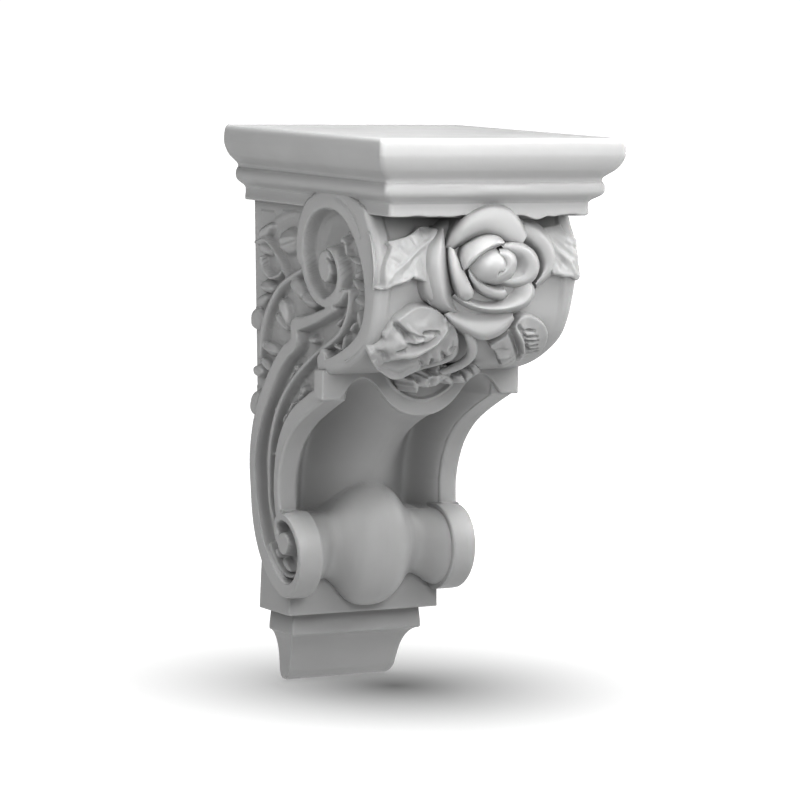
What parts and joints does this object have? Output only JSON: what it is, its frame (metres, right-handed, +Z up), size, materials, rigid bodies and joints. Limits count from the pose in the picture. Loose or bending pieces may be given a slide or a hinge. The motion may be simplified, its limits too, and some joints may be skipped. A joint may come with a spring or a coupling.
{
  "type": "polyurethane corbel",
  "caption": "Cast polyurethane wall corbel with a moulded square cap, a rose with leaves on a rolled front, scrolled cheeks, a scooped underside and a drop.",
  "frame": {"origin": "middle of the flat back face that lies on the wall, at half the height", "axes": "+Y points into the wall, the corbel stands out towards -Y, +X to the right of someone facing it, +Z up"},
  "size_m": [0.1472, 0.1711, 0.305],
  "materials": {
    "cast_polyurethane": "satin white, as cast and primed"
  },
  "bodies": {
    "root": {"corbel": "cast_polyurethane"}
  },
  "joints": []
}
